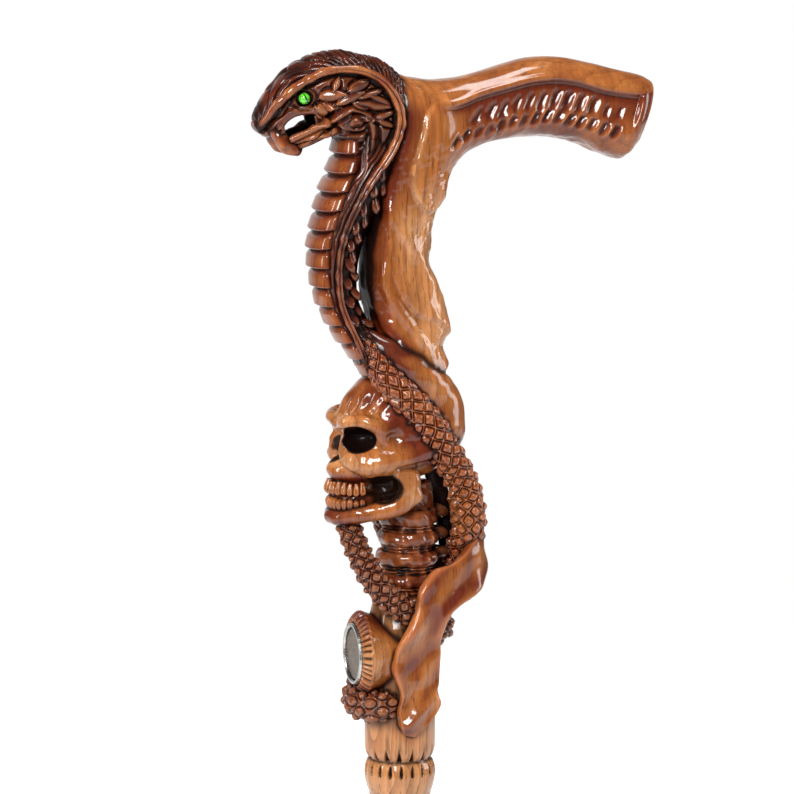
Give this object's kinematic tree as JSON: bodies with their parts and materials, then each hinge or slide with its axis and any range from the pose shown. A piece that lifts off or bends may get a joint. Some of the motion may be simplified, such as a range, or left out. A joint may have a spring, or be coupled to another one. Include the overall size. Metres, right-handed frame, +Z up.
{
  "type": "walking cane",
  "caption": "T-handled wooden walking cane: a handle carved as a cobra over a skull, screwed to a tapered shaft with a rubber ferrule.",
  "frame": {"origin": "middle of the ferrule's flat base, where the cane stands on the ground", "axes": "+Z up along the shaft; +X the way the palm grip points; the cobra's head faces -X; -Y is the side that the snake crosses the skull on"},
  "size_m": [0.1642, 0.0479, 0.9195],
  "materials": {
    "carved_wood": "hand carved, stained from golden brown to dark mahogany, gloss lacquer",
    "eye_glass": "polished green cabochon with a dark slit",
    "bezel_silver": "silver coloured, beaded inner edge",
    "medallion_bronze": "antiqued, satin",
    "collar_black": "blackened, satin",
    "stud_steel": "zinc plated",
    "insert_brass": "machined",
    "shaft_wood": "turned, stained golden brown, gloss lacquer",
    "ferrule_rubber": "matt black"
  },
  "bodies": {
    "handle": {"carved_handle": "carved_wood", "eye_left": "eye_glass", "eye_right": "eye_glass", "medallion_bezel": "bezel_silver", "medallion_face": "medallion_bronze", "joint_stud": "stud_steel"},
    "collar": {"joint_collar": "collar_black"},
    "shaft": {"shaft": "shaft_wood", "shaft_insert": "insert_brass"},
    "ferrule": {"ferrule": "ferrule_rubber", "ferrule_washer": "stud_steel"}
  },
  "joints": [
    {"name": "collar_drop", "type": "slide", "parent": "handle", "child": "collar", "axis": [0, 0, -1], "range_m": [0, 0.018]},
    {"name": "shaft_unscrew", "type": "hinge", "parent": "collar", "child": "shaft", "pos_m": [0, 0, 0.6114], "axis": [0, 0, -1], "range_deg": [0, 4320]},
    {"name": "ferrule_pull", "type": "slide", "parent": "shaft", "child": "ferrule", "axis": [0, 0, -1], "range_m": [0, 0.031]}
  ],
  "couplings": [
    {"joint": "collar_drop", "follows": "shaft_unscrew", "m_per_rad": 0.00023873}
  ]
}
